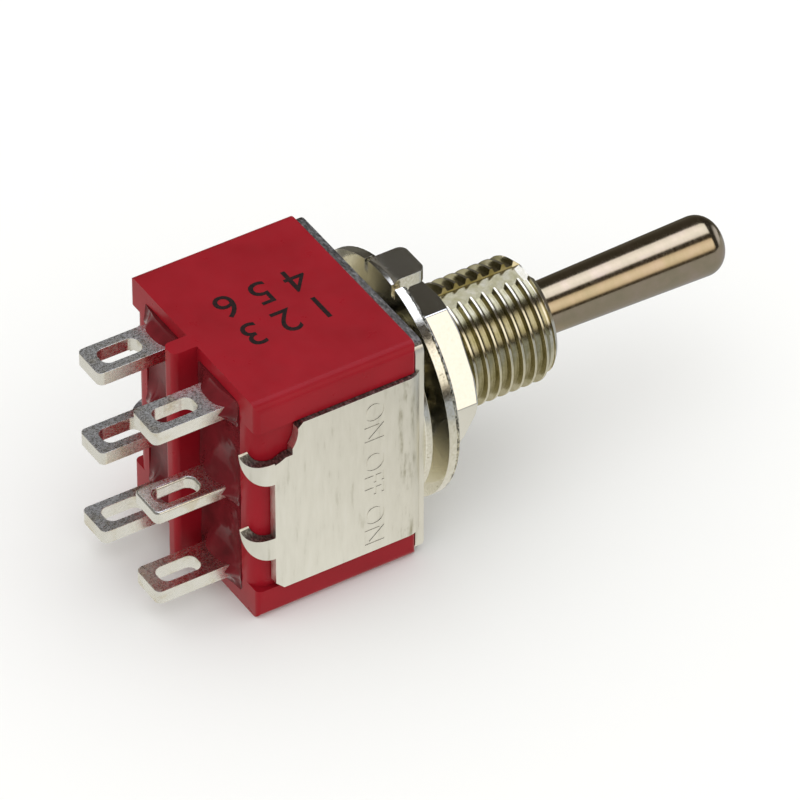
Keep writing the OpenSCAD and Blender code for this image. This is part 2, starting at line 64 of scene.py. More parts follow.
def startEditing(piece):
    pickOnly(piece)
    bpy.ops.object.mode_set(mode="EDIT")
    bpy.ops.mesh.select_all(action="SELECT")


def stopEditing():
    bpy.ops.object.mode_set(mode="OBJECT")


def settle(piece):
    # the finished piece's object sits at the origin
    pickOnly(piece)
    bpy.ops.object.transform_apply(location=True, rotation=True, scale=True)


def joinPieces(pieces, name):
    pickOnly(pieces[0])
    for other in pieces[1:]:
        other.select_set(True)
    bpy.ops.object.join()
    joined = bpy.context.object
    joined.name = name
    return joined


def roundEdges(piece, radius, segments, sharperThan=35, smoothBelow=40):
    pickOnly(piece)
    bpy.ops.object.shade_smooth_by_angle(angle=math.radians(smoothBelow))
    bevel = piece.modifiers.new("edges", "BEVEL")
    bevel.width = radius * mm
    bevel.segments = segments
    bevel.limit_method = "ANGLE"
    bevel.angle_limit = math.radians(sharperThan)
    bevel.use_clamp_overlap = True
    bevel.harden_normals = True
    bpy.ops.object.modifier_apply(modifier=bevel.name)


def copyOfNode(node, name):
    # the CAD solid again as a clean mesh of its own, ready to be finished
    piece = bpy.data.objects.new(name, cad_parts[node].data.copy())
    bpy.context.collection.objects.link(piece)
    pickOnly(piece)
    if piece.data.has_custom_normals:
        bpy.ops.mesh.customdata_custom_splitnormals_clear()
    startEditing(piece)
    bpy.ops.mesh.remove_doubles(threshold=0.0000015)
    bpy.ops.mesh.dissolve_limited(angle_limit=math.radians(0.6))
    stopEditing()
    return piece


def turned(name, profile, steps):
    # lathe work: the profile is drawn by extruding one point, then spun about the bushing's axis
    clearSelection()
    bpy.ops.mesh.primitive_plane_add(size=mm, location=spot(profile[0][0], 0, profile[0][1]))
    piece = bpy.context.object
    piece.name = name
    startEditing(piece)
    bpy.ops.mesh.merge(type="CENTER")
    for before, after in zip(profile, profile[1:]):
        step = spot(after[0] - before[0], 0, after[1] - before[1])
        bpy.ops.mesh.extrude_region_move(TRANSFORM_OT_translate={"value": tuple(step)})
    bpy.ops.mesh.select_all(action="SELECT")
    bpy.ops.mesh.spin(steps=steps, angle=2 * math.pi, center=(0, 0, 0), axis=(0, 1, 0))
    bpy.ops.mesh.select_all(action="SELECT")
    bpy.ops.mesh.remove_doubles(threshold=0.000001)
    bpy.ops.mesh.normals_make_consistent(inside=False)
    stopEditing()
    settle(piece)
    return piece


def arc(centreR, centreZ, radius, startAngle, endAngle, count):
    # points of a round corner in a lathe profile, angles from the radial direction
    points = []
    for i in range(count + 1):
        a = math.radians(startAngle + (endAngle - startAngle) * i / count)
        points.append((centreR + radius * math.cos(a), centreZ + radius * math.sin(a)))
    return points


def lettering(name, words, size, place, along, upward, thickness, bold=0.0):
    # generic letters as a closed solid, standing on a flat face
    clearSelection()
    bpy.ops.object.text_add(location=(0, 0, 0))
    piece = bpy.context.object
    piece.name = name
    piece.data.body = words
    piece.data.size = size * mm
    piece.data.align_x = "CENTER"
    piece.data.align_y = "CENTER"
    piece.data.resolution_u = 4
    piece.data.offset = bold * mm
    piece.data.extrude = thickness * mm / 2
    bpy.ops.object.convert(target="MESH")
    piece = bpy.context.object
    outward = along.cross(upward)
    turn = Matrix((along, upward, outward)).transposed().to_4x4()
    turn.translation = place
    piece.matrix_world = turn
    settle(piece)
    startEditing(piece)
    bpy.ops.mesh.remove_doubles(threshold=0.0000005)
    bpy.ops.mesh.normals_make_consistent(inside=False)
    stopEditing()
    return piece


# ---------- finishes ----------

def newFinish(name, colour, metallic, roughness):
    material = bpy.data.materials.new(name)
    material.use_nodes = True
    shader = material.node_tree.nodes["Principled BSDF"]
    shader.inputs["Base Color"].default_value = (*colour, 1)
    shader.inputs["Metallic"].default_value = metallic
    shader.inputs["Roughness"].default_value = roughness
    material.diffuse_color = (*colour, 1)
    return material


def addNode(material, kind, **values):
    node = material.node_tree.nodes.new(kind)
    for key, value in values.items():
        if key in node.inputs:
            node.inputs[key].default_value = value
        else:
            setattr(node, key, value)
    return node


def wire(material, source, target):
    material.node_tree.links.new(source, target)


def speckle(material, size, detail=4.0, stretch=(1, 1, 1), shift=(0, 0, 0), roughness=0.55):
    # noise in the piece's own coordinates; size is that of one blotch in millimetres
    place = addNode(material, "ShaderNodeTexCoord")
    mapping = addNode(material, "ShaderNodeMapping")
    mapping.inputs["Location"].default_value = shift
    mapping.inputs["Scale"].default_value = [s / (size * mm) for s in stretch]
    noise = addNode(material, "ShaderNodeTexNoise")
    noise.inputs["Scale"].default_value = 1.0
    noise.inputs["Detail"].default_value = detail
    noise.inputs["Roughness"].default_value = roughness
    wire(material, place.outputs["Object"], mapping.inputs["Vector"])
    wire(material, mapping.outputs["Vector"], noise.inputs["Vector"])
    return noise.outputs["Fac"]


def spread(material, source, low, high, fromLow=0.3, fromHigh=0.7):
    ranged = addNode(material, "ShaderNodeMapRange")
    ranged.inputs["From Min"].default_value = fromLow
    ranged.inputs["From Max"].default_value = fromHigh
    ranged.inputs["To Min"].default_value = low
    ranged.inputs["To Max"].default_value = high
    wire(material, source, ranged.inputs["Value"])
    return ranged.outputs["Result"]


def product(material, kind, first, second):
    # one sum worked on two values
    node = addNode(material, "ShaderNodeMath", operation=kind)
    wire(material, first, node.inputs[0])
    wire(material, second, node.inputs[1])
    return node.outputs["Value"]


def bandOf(material, source, middle, reach):
    # 1 at a place along one axis, fading to 0 at its reach; both in millimetres
    away = addNode(material, "ShaderNodeMath", operation="SUBTRACT")
    away.inputs[1].default_value = middle * mm
    wire(material, source, away.inputs[0])
    size = addNode(material, "ShaderNodeMath", operation="ABSOLUTE")
    wire(material, away.outputs["Value"], size.inputs[0])
    return spread(material, size.outputs["Value"], 1, 0, 0, reach * mm)


def tones(material, source, stops):
    # colours along a noise: (position, colour) pairs
    ramp = addNode(material, "ShaderNodeValToRGB")
    elements = ramp.color_ramp.elements
    elements[0].position, elements[0].color = stops[0][0], (*stops[0][1], 1)
    elements[1].position, elements[1].color = stops[-1][0], (*stops[-1][1], 1)
    for position, colour in stops[1:-1]:
        extra = elements.new(position)
        extra.color = (*colour, 1)
    wire(material, source, ramp.inputs["Fac"])
    return ramp.outputs["Color"]


def addBump(material, layers):
    # layers of relief, each (source, height in millimetres, strength)
    shader = material.node_tree.nodes["Principled BSDF"]
    normal = None
    for source, height, strength in layers:
        bump = addNode(material, "ShaderNodeBump")
        bump.inputs["Strength"].default_value = strength
        bump.inputs["Distance"].default_value = height * mm
        wire(material, source, bump.inputs["Height"])
        if normal:
            wire(material, normal, bump.inputs["Normal"])
        normal = bump.outputs["Normal"]
    wire(material, normal, shader.inputs["Normal"])


def dress(material, colourSource=None, roughSource=None):
    shader = material.node_tree.nodes["Principled BSDF"]
    if colourSource:
        wire(material, colourSource, shader.inputs["Base Color"])
    if roughSource:
        wire(material, roughSource, shader.inputs["Roughness"])


def setShader(material, **values):
    shader = material.node_tree.nodes["Principled BSDF"]
    for key, value in values.items():
        shader.inputs[key].default_value = value


def wear(piece, material):
    piece.data.materials.clear()
    piece.data.materials.append(material)


def mouldedRed():
    # thermoset moulding, glossy under a thin haze
    finish = newFinish("mouldedRed", (0.275, 0.007, 0.014), 0.0, 0.32)
    cloud = speckle(finish, 2.6, 3)
    fine = speckle(finish, 0.12, 3)
    dress(finish,
          tones(finish, cloud, [(0.3, (0.25, 0.006, 0.012)), (0.5, (0.275, 0.007, 0.014)),
                                (0.72, (0.30, 0.008, 0.016))]),
          spread(finish, speckle(finish, 0.7, 5), 0.27, 0.35))
    addBump(finish, [(cloud, 0.02, 0.3), (fine, 0.003, 0.2)])
    setShader(finish, **{"Specular IOR Level": 0.16})
    return finish


def pouredResin():
    finish = newFinish("pouredResin", (0.10, 0.014, 0.018), 0.0, 0.09)
    cloud = speckle(finish, 1.3, 3)
    dress(finish,
          tones(finish, cloud, [(0.3, (0.09, 0.010, 0.012)), (0.7, (0.17, 0.015, 0.02))]),
          spread(finish, speckle(finish, 0.5, 4), 0.06, 0.15))
    addBump(finish, [(speckle(finish, 0.9, 2), 0.06, 0.5), (speckle(finish, 0.1, 2), 0.003, 0.2)])
    setShader(finish, **{"Specular IOR Level": 0.16})
    return finish


def satinPlate():
    # nickel on pressed steel: satin, with long stains, and painted shade darkening the bend
    finish = newFinish("satinPlate", (0.89, 0.87, 0.79), 1.0, 0.40)
    mottle = speckle(finish, 0.5, 6)
    fine = speckle(finish, 0.06, 4)
    drawn = speckle(finish, 0.35, 4, stretch=(1, 5, 0.6))
    stain = speckle(finish, 0.8, 6, stretch=(1, 2.2, 0.4), shift=(3.1, 0.4, 1.7))
    # painted shade: the plating is darkened in a band along the bend, broken up by noise
    place = addNode(finish, "ShaderNodeTexCoord")
    split = addNode(finish, "ShaderNodeSeparateXYZ")
    wire(finish, place.outputs["Object"], split.inputs["Vector"])
    foldShade = bandOf(finish, split.outputs["Y"], 1.15, 0.75)
    foldShadePatches = spread(finish, speckle(finish, 0.35, 6, stretch=(1, 1, 0.35)), 0.0, 0.3, 0.4, 0.62)
    stain = product(finish, "SUBTRACT", stain, product(finish, "MULTIPLY", foldShade, foldShadePatches))
    # the stain tones below also carry the painted shade of the bend
    dress(finish,
          tones(finish, stain, [(0.08, (0.42, 0.39, 0.28)), (0.26, (0.72, 0.70, 0.61)), (0.40, (0.87, 0.85, 0.77)),
                                (0.6, (0.91, 0.89, 0.81)), (0.8, (0.93, 0.91, 0.85))]),
          spread(finish, drawn, 0.32, 0.48))
    addBump(finish, [(mottle, 0.010, 0.3), (fine, 0.005, 0.3)])
    return finish


def shearedEdgeAndShade():
    # the cut edge of the sheet: grainy and broken along the shear, and dark from painted shade
    finish = newFinish("shearedEdgeAndShade", (0.34, 0.32, 0.29), 1.0, 0.5)
    grain = speckle(finish, 0.1, 6, stretch=(0.5, 1, 1))
    dress(finish,
          tones(finish, grain, [(0.34, (0.10, 0.09, 0.08)), (0.55, (0.26, 0.245, 0.22)),
                                (0.78, (0.62, 0.60, 0.55))]),
          spread(finish, speckle(finish, 0.2, 5), 0.36, 0.6))
    addBump(finish, [(grain, 0.03, 0.6), (speckle(finish, 0.03, 3), 0.004, 0.4)])
    return finish


def barrelNickel():
    # bright nickel on brass with an olive cast; fine rings are left by the cutting tool
    finish = newFinish("barrelNickel", (0.80, 0.76, 0.61), 1.0, 0.14)
    blotch = speckle(finish, 0.35, 5)
    rings = speckle(finish, 0.08, 4, stretch=(0.12, 2.2, 0.12))
    dress(finish,
          tones(finish, blotch, [(0.3, (0.72, 0.67, 0.50)), (0.55, (0.81, 0.76, 0.61)),
                                 (0.75, (0.87, 0.83, 0.70))]),
          spread(finish, rings, 0.10, 0.19))
    addBump(finish, [(rings, 0.005, 0.3), (blotch, 0.008, 0.2)])
    return finish


def grooveShadeNickel():
    # painted shade: the nickel is darker and olive down in the thread, standing in for the shade between the
    # crests
    finish = newFinish("grooveShadeNickel", (0.46, 0.42, 0.26), 1.0, 0.16)
    blotch = speckle(finish, 0.5, 5, shift=(0.4, 2.2, 1.1))
    rings = speckle(finish, 0.07, 5, stretch=(0.1, 2.4, 0.1))
    dress(finish,
          tones(finish, blotch, [(0.3, (0.38, 0.345, 0.18)), (0.5, (0.46, 0.42, 0.26)),
                                 (0.72, (0.55, 0.51, 0.37))]),
          spread(finish, rings, 0.10, 0.24))
    addBump(finish, [(rings, 0.008, 0.45), (blotch, 0.008, 0.2)])
    return finish


def nutNickel():
    finish = newFinish("nutNickel", (0.93, 0.91, 0.84), 1.0, 0.16)
    blotch = speckle(finish, 0.45, 6)
    pits = speckle(finish, 0.16, 5, shift=(2.2, 0.3, 0.9))
    dress(finish,
          tones(finish, pits, [(0.22, (0.80, 0.77, 0.66)), (0.34, (0.93, 0.91, 0.84)),
                               (0.7, (0.95, 0.94, 0.89))]),
          spread(finish, speckle(finish, 0.22, 5), 0.09, 0.18))
    addBump(finish, [(blotch, 0.012, 0.25), (speckle(finish, 0.05, 4), 0.002, 0.25)])
    return finish


def rolledNickel():
    # thin plating on the two washers, mottled and pitted
    finish = newFinish("rolledNickel", (0.84, 0.81, 0.70), 1.0, 0.2)
    pits = speckle(finish, 0.13, 6, shift=(0.7, 1.3, 0.2))
    blotch = speckle(finish, 0.5, 5)
    dress(finish,
          tones(finish, pits, [(0.27, (0.42, 0.39, 0.28)), (0.36, (0.82, 0.79, 0.68)),
                               (0.7, (0.93, 0.91, 0.83))]),
          spread(finish, pits, 0.22, 0.09))
    addBump(finish, [(pits, 0.008, 0.35), (blotch, 0.012, 0.3)])
    return finish


def pittedRoll():
    # the ring's rolled front edge: bare, black in its pits
    finish = newFinish("pittedRoll", (0.70, 0.67, 0.56), 1.0, 0.2)
    pits = speckle(finish, 0.15, 6, shift=(1.1, 0.2, 2.4))
    dress(finish,
          tones(finish, pits, [(0.42, (0.05, 0.045, 0.03)), (0.5, (0.70, 0.66, 0.52)),
                               (0.66, (0.92, 0.89, 0.78))]),
          spread(finish, pits, 0.3, 0.12))
    addBump(finish, [(pits, 0.03, 0.7), (speckle(finish, 0.05, 3), 0.004, 0.3)])
    return finish


def leverNickel():
    finish = newFinish("leverNickel", (0.52, 0.42, 0.29), 1.0, 0.14)
    around = speckle(finish, 0.08, 4, stretch=(0.25, 1, 0.25))
    blotch = speckle(finish, 0.6, 4)
    pink = speckle(finish, 1.1, 3, shift=(1.3, 2.1, 0.4))
    dress(finish,
          tones(finish, pink, [(0.3, (0.48, 0.40, 0.26)), (0.5, (0.52, 0.42, 0.28)),
                               (0.7, (0.56, 0.44, 0.32))]),
          spread(finish, around, 0.10, 0.20))
    addBump(finish, [(around, 0.004, 0.45), (blotch, 0.006, 0.2)])
    return finish


def dippedTin():
    # solder-dipped copper alloy, grainy along the cut
    finish = newFinish("dippedTin", (0.88, 0.86, 0.80), 1.0, 0.3)
    grain = speckle(finish, 0.11, 5, stretch=(1, 0.7, 1))
    fine = speckle(finish, 0.045, 4)
    stain = speckle(finish, 0.9, 4, shift=(1.9, 0.2, 3.3))
    dress(finish,
          tones(finish, stain, [(0.3, (0.76, 0.70, 0.56)), (0.45, (0.87, 0.85, 0.78)),
                                (0.75, (0.93, 0.92, 0.88))]),
          spread(finish, grain, 0.20, 0.36))
    addBump(finish, [(grain, 0.003, 0.2), (fine, 0.0015, 0.25)])
    return finish


def markingInk():
    finish = newFinish("markingInk", (0.009, 0.007, 0.005), 0.0, 0.5)
    dress(finish,
          tones(finish, speckle(finish, 0.12, 4), [(0.35, (0.006, 0.005, 0.004)), (0.8, (0.035, 0.010, 0.009))]),
          spread(finish, speckle(finish, 0.2, 3), 0.4, 0.6))
    addBump(finish, [(speckle(finish, 0.08, 3), 0.004, 0.4)])
    setShader(finish, **{"Specular IOR Level": 0.2})
    return finish


def plainInner(name, colour, darker, metallic, low, high, size):
    # finish of a piece inside the case
    finish = newFinish(name, colour, metallic, (low + high) / 2)
    cloud = speckle(finish, size, 4)
    dress(finish, tones(finish, cloud, [(0.3, darker), (0.7, colour)]),
          spread(finish, speckle(finish, size / 3, 4), low, high))
    addBump(finish, [(cloud, 0.01, 0.3)])
    return finish


redFinish = mouldedRed()
resinFinish = pouredResin()
plateFinish = satinPlate()
edgeGrainAndShadeFinish = shearedEdgeAndShade()
barrelFinish = barrelNickel()
grooveShadeFinish = grooveShadeNickel()
nutFinish = nutNickel()
ringFinish = rolledNickel()
rollFinish = pittedRoll()
leverFinish = leverNickel()
lugFinish = dippedTin()
inkFinish = markingInk()
fibreFinish = plainInner("pressedFibre", (0.42, 0.27, 0.13), (0.34, 0.21, 0.10), 0.0, 0.6, 0.85, 0.4)
nylonFinish = plainInner("ivoryNylon", (0.80, 0.76, 0.66), (0.72, 0.68, 0.58), 0.0, 0.35, 0.5, 0.8)
plungerFinish = plainInner("plungerSteel", (0.68, 0.68, 0.68), (0.58, 0.58, 0.58), 1.0, 0.18, 0.3, 0.3)
springFinish = plainInner("springSteel", (0.55, 0.54, 0.52), (0.44, 0.43, 0.42), 1.0, 0.22, 0.36, 0.2)
silverFinish = plainInner("contactSilver", (0.88, 0.86, 0.80), (0.76, 0.73, 0.66), 1.0, 0.22, 0.38, 0.3)
print("stage: finishes ready")


# ---------- case, bracket, nut, washers and lugs: CAD forms with worked edges ----------

edgeWork = {
    "case": {"name": "mouldedCase", "radius": 0.12, "segments": 3, "finish": redFinish, "slot": "case_red"},
    "bracket": {"name": "foldedBracket", "radius": 0.11, "segments": 4, "finish": plateFinish,
                "slot": "plated_steel"},
    "locking_ring": {"name": "keyedRing", "radius": 0.06, "segments": 2, "finish": ringFinish,
                     "slot": "bright_nickel"},
    "lock_washer": {"name": "toothedWasher", "radius": 0.08, "segments": 3, "finish": ringFinish,
                    "slot": "bright_nickel"},
    "hex_nut": {"name": "hexNut", "radius": 0.11, "segments": 3, "finish": nutFinish, "slot": "bright_nickel"},
}
rolled = {"fromR": 5.72, "toR": 6.02, "fromZ": 1.39, "toZ": 1.67}
finished = {}
for node, work in edgeWork.items():
    piece = copyOfNode(node, work["name"])
    roundEdges(piece, work["radius"], work["segments"])
    wear(piece, work["finish"])
    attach(piece, "switch_body")
    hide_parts(node)
    finished[node] = piece
    print("stage:", work["name"], len(piece.data.polygons))

ringPiece = finished["locking_ring"]
ringPiece.data.materials.append(rollFinish)
for face in ringPiece.data.polygons:
    out = math.hypot(face.center.x, face.center.z) / mm
    if out > rolled["fromR"] and rolled["fromZ"] < -face.center.y / mm < rolled["toZ"] and out < rolled["toR"]:
        face.material_index = 1

lugs = {"radius": 0.13, "segments": 4, "count": 6}
for number in range(1, lugs["count"] + 1):
    node = f"terminal_{number}"
    lug = copyOfNode(node, f"solderLug{number}")
    roundEdges(lug, lugs["radius"], lugs["segments"])
    wear(lug, lugFinish)
    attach(lug, "switch_body")
    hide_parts(node)
print("stage: lugs")


# ---------- lever ----------

lever = {
    "ballR": 2.0, "ballZ": 4.6, "throatR": 1.1, "throatZ": 6.0,
    "mouthZ": 8.9, "rootR": 1.275, "tipR": 1.48, "tipZ": 19.35, "tipRound": 1.05,
    "tailR": 0.8, "tailZ": -3.33, "trunnionR": 0.45, "trunnionLength": 4.7, "steps": 128,
}


def leverProfile(s):
    tailMeet = math.degrees(math.asin(s["tailR"] / s["ballR"])) - 90
    neckMeet = 90 - math.degrees(math.asin(s["throatR"] / s["ballR"]))
    points = [(0, s["tailZ"]), (s["tailR"] - 0.12, s["tailZ"])]
    points += arc(s["tailR"] - 0.12, s["tailZ"] + 0.12, 0.12, -80, 0, 4)
    points += arc(0, s["ballZ"], s["ballR"], tailMeet, neckMeet, 40)
    points += [(s["throatR"], s["throatZ"] + 0.1)]
    bodyTop = s["tipZ"] - s["tipRound"]
    for i in range(13):
        t = i / 12
        points.append((s["rootR"] + (s["tipR"] - s["rootR"]) * t, s["mouthZ"] + (bodyTop - s["mouthZ"]) * t))
    points += arc(s["tipR"] - s["tipRound"], bodyTop, s["tipRound"], 6, 90, 14)
    points += [(0, s["tipZ"])]
    return points


leverPiece = turned("turnedLever", leverProfile(lever), lever["steps"])
clearSelection()
bpy.ops.mesh.primitive_cylinder_add(vertices=40, radius=lever["trunnionR"] * mm,
                                    depth=lever["trunnionLength"] * mm,
                                    location=spot(0, 0, lever["ballZ"]), rotation=(0, math.pi / 2, 0))
trunnions = bpy.context.object
settle(trunnions)
roundEdges(trunnions, 0.06, 3)
leverPiece = joinPieces([leverPiece, trunnions], "turnedLever")
pickOnly(leverPiece)
bpy.ops.object.shade_smooth_by_angle(angle=math.radians(32))
wear(leverPiece, leverFinish)
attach(leverPiece, "lever")
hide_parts("lever")
print("stage: lever")


# ---------- threaded bushing ----------

bushing = {
    "flangeR": 3.6, "rearZ": -0.75, "plateZ": -0.45, "rootR": 2.76, "crestR": 3.05,
    "pitch": 0.635, "crestHalf": 0.058, "frontFlank": 0.15, "rearFlank": 0.07,
    "crestAngle": 106.4, "crestZ": 4.21,
    "threadStart": 3.66, "threadIn": 3.78, "frontZ": 8.9, "chamferZ": 8.5, "faceR": 2.65,
    "mouthR": 2.4, "neckR": 1.585, "neckZ": 5.9, "seatR": 2.05, "seatZ": 4.6, "boreR": 2.1,
    "keyHalf": 0.6, "keyFloor": 2.52, "keyLean": 0.13, "columns": 144,
    "phases": [-0.29, -0.22, -0.16, -0.125, -0.105, -0.085, -0.06, -0.046, 0, 0.046, 0.07, 0.10, 0.13, 0.16,
               0.19, 0.24],
}


def threadRadius(s, z, angle):
    helix = s["crestZ"] + s["pitch"] * (angle - s["crestAngle"]) / 360
    away = (z - helix) / s["pitch"]
    away = (away - round(away)) * s["pitch"]
    depth = s["crestR"] - s["rootR"]
    flank = s["frontFlank"] if away > 0 else s["rearFlank"]
    fall = (abs(away) - s["crestHalf"]) / flank
    # a narrow flat crest, a steep flank and a broad round floor
    share = 1.0 if fall < 0 else max(0.0, 1 - fall) ** 1.3
    grow = min(1.0, max(0.0, (z - s["threadStart"]) / (s["threadIn"] - s["threadStart"])))
    radius = s["rootR"] + depth * share * grow
    if z > s["chamferZ"]:
        slope = (s["crestR"] - s["faceR"]) / (s["frontZ"] - s["chamferZ"])
        radius = min(radius, s["crestR"] - (z - s["chamferZ"]) * slope)
    return radius


def bushingColumns(s):
    # (angle, kind, x) round the bushing; kind says which columns stand in the keyway or a trunnion slot
    plain = [(-180 + 360 * i / s["columns"]) for i in range(s["columns"] + 1)]
    half = 12.0
    columns = [(a, "plain", 0) for a in plain if abs(a - 90) > half + 0.5]
    columns += [(90 - half, "keyEdge", s["keyHalf"]), (90 + half, "keyEdge", -s["keyHalf"])]
    for i in range(9):
        x = s["keyHalf"] * (1 - i / 4)
        columns.append((90 - (half - 0.3) * (1 - i / 4), "keyFloor", x))
    columns.sort(key=lambda c: c[0])
    return columns


def bushingRows(s):
    # each row: kind, height, radius
    rows = [("plain", s["rearZ"], s["flangeR"] - 0.06), ("plain", s["rearZ"] + 0.06, s["flangeR"]),
            ("plain", s["plateZ"], s["flangeR"]), ("plain", s["plateZ"], s["rootR"]),
            ("key", 0.02, s["rootR"])]
    rows += [("key", s["threadStart"] - 0.3, s["rootR"]), ("key", s["threadStart"] - 0.02, s["rootR"])]
    firstTurn = int(math.floor((s["threadStart"] - s["crestZ"]) / s["pitch"])) - 1
    lastTurn = int(math.ceil((s["frontZ"] - s["crestZ"]) / s["pitch"])) + 1
    rows += [("thread", s["crestZ"] + k * s["pitch"] + phase, 0)
             for k in range(firstTurn, lastTurn + 1) for phase in s["phases"]]
    rows += [("face", s["frontZ"], s["faceR"] - 0.06), ("face", s["frontZ"], s["mouthR"] + 0.05),
             ("inside", s["frontZ"] - 0.05, s["mouthR"])]
    for i in range(1, 8):
        t = i / 7
        rows.append(("inside", s["frontZ"] - 0.05 + (s["neckZ"] - s["frontZ"] + 0.05) * t,
                     s["mouthR"] + (s["neckR"] - s["mouthR"]) * t))
    for i in range(1, 10):
        a = math.asin((s["neckZ"] - s["seatZ"]) / s["seatR"]) * (1 - i / 9)
        rows.append(("inside", s["seatZ"] + s["seatR"] * math.sin(a), s["seatR"] * math.cos(a)))
    rows += [("bore", s["seatZ"] + 0.5, s["boreR"]), ("bore", s["rearZ"], s["boreR"]),
             ("plain", s["rearZ"], s["flangeR"] - 0.06)]
    return rows


def bushingPoint(s, row, column):
    kind, z, radius = row
    angle, place, x = column
    turn = math.radians(angle)
    if kind == "thread":
        z = z + s["pitch"] * (angle - s["crestAngle"]) / 360
        z = min(s["frontZ"], max(s["threadStart"], z))
        radius = threadRadius(s, z, angle)
    if kind in ("thread", "key", "face") and place != "plain" and radius > s["keyFloor"] * 0.9:
        top = math.sqrt(max(radius ** 2 - x ** 2, 0.01))
        floor = min(s["keyFloor"] + s["keyLean"] * x, top) if place == "keyFloor" else top
        return spot(x, floor, z)
    return spot(radius * math.cos(turn), radius * math.sin(turn), z)


columns = bushingColumns(bushing)
rows = bushingRows(bushing)
clearSelection()
bpy.ops.mesh.primitive_grid_add(x_subdivisions=len(columns) - 1, y_subdivisions=len(rows) - 1, size=1)
barrel = bpy.context.object
barrel.name = "threadedBushing"
for number, vertex in enumerate(barrel.data.vertices):
    # the flat grid is rolled round the axis: across it go the columns, up it go the rows
    vertex.co = bushingPoint(bushing, rows[number // len(columns)], columns[number % len(columns)])
startEditing(barrel)
bpy.ops.mesh.remove_doubles(threshold=0.000002)
bpy.ops.mesh.dissolve_degenerate(threshold=0.000002)
bpy.ops.mesh.select_all(action="SELECT")
bpy.ops.mesh.normals_make_consistent(inside=False)
stopEditing()
pickOnly(barrel)
bpy.ops.object.shade_smooth_by_angle(angle=math.radians(32))
wear(barrel, barrelFinish)
# faces below the crest, in the thread and along the plain root, take the painted-shade finish
barrel.data.materials.append(grooveShadeFinish)
for face in barrel.data.polygons:
    out = math.hypot(face.center.x, face.center.z) / mm
    if bushing["mouthR"] + 0.05 < out < bushing["crestR"] - 0.06 and -face.center.y / mm < bushing["chamferZ"]:
        face.material_index = 1
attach(barrel, "switch_body")
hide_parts("bushing")
print("stage: bushing", len(barrel.data.polygons))


# ---------- resin ----------

resin = {
    "innerX": 0.45, "outerX": 4.1, "halfHeight": 5.6, "topZ": -8.6, "bottomZ": -7.56,
    "poleX": 2.415, "rowPitch": 4.7, "lugW": 2.0, "lugT": 0.7, "wall": 0.03,
    "rise": 0.88, "cornerDrop": 0.35, "reach": 0.42, "wallRise": 0.2, "wallReach": 0.3,
    "step": 0.055,
}


def resinHeight(s, side, x, y):
    # how far the resin stands out of its level at one point
    wallGap = min(x - s["innerX"], s["outerX"] - x, s["halfHeight"] - abs(y))
    height = s["wallRise"] * math.exp(-max(wallGap, 0) / s["wallReach"])
    for row in (-1, 0, 1):
        alongX = abs(x - s["poleX"])
        alongY = abs(y - row * s["rowPitch"])
        outX = max(alongX - s["lugW"] / 2, 0)
        outY = max(alongY - s["lugT"] / 2, 0)
        gap = math.hypot(outX, outY)
        corner = min(1, alongX / (s["lugW"] / 2)) ** 3 * min(1, alongY / (s["lugT"] / 2))
        rise = s["rise"] - s["cornerDrop"] * corner
        rise *= 1 + 0.08 * math.sin(5 * row + 3 * side)
        height += rise * math.exp(-(gap / s["reach"]) ** 1.15)
    swell = 0.03 * math.sin(1.7 * x + 0.9 * side) * math.cos(1.1 * y + side)
    return height + swell


for side in (-1, 1):
    s = resin
    width = s["outerX"] - s["innerX"] - 2 * s["wall"]
    length = 2 * (s["halfHeight"] - s["wall"])
    across = int(width / s["step"])
    along = int(length / s["step"])
    clearSelection()
    bpy.ops.mesh.primitive_grid_add(x_subdivisions=across, y_subdivisions=along, size=1)
    pool = bpy.context.object
    pool.name = "resinPool" + ("1" if side < 0 else "2")
    startEditing(pool)
    bpy.ops.mesh.extrude_region_move(TRANSFORM_OT_translate={"value": (0, 0, -1)})
    stopEditing()
    for vertex in pool.data.vertices:
        x = s["innerX"] + s["wall"] + (vertex.co.x + 0.5) * width
        y = vertex.co.y * length
        z = s["bottomZ"] if vertex.co.z > -0.5 else s["topZ"] - resinHeight(s, side, x, y)
        vertex.co = spot(side * x, y, z)
    startEditing(pool)
    bpy.ops.mesh.normals_make_consistent(inside=False)
    stopEditing()
    bpy.ops.object.shade_smooth_by_angle(angle=math.radians(50))
    wear(pool, resinFinish)
    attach(pool, "switch_body")
    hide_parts("terminal_seal_1" if side < 0 else "terminal_seal_2")
print("stage: resin")


# ---------- generic marks ----------

marks = {
    "words": ["ON", "OFF", "ON"], "places": [3.05, 0.0, -3.05], "size": 1.5, "depth": 0.02,
    "cheekX": -5.75, "centreZ": -2.9,
}
cutters = []
for word, high in zip(marks["words"], marks["places"]):
    cutters.append(lettering("stamp", word, marks["size"],
                             spot(marks["cheekX"], high, marks["centreZ"]),
                             Vector((0, 0, -1)), Vector((0, -1, 0)), 2 * marks["depth"]))
stamp = joinPieces(cutters, "stamp")
bracketPiece = finished["bracket"]
pickOnly(bracketPiece)
carve = bracketPiece.modifiers.new("stampedMarks", "BOOLEAN")
carve.operation = "DIFFERENCE"
carve.solver = "EXACT"
carve.object = stamp
bpy.ops.object.modifier_apply(modifier=carve.name)
bpy.data.objects.remove(stamp)
bpy.ops.mesh.customdata_custom_splitnormals_clear()
bpy.ops.object.shade_smooth_by_angle(angle=math.radians(30))
# the sheet's cut edges, facing along the throw, take the grainy finish darkened with painted shade
bracketPiece.data.materials.append(edgeGrainAndShadeFinish)
for face in bracketPiece.data.polygons:
    if abs(face.normal.z) > 0.6:
        face.material_index = 1
print("stage: stamped marks", len(bracketPiece.data.polygons))

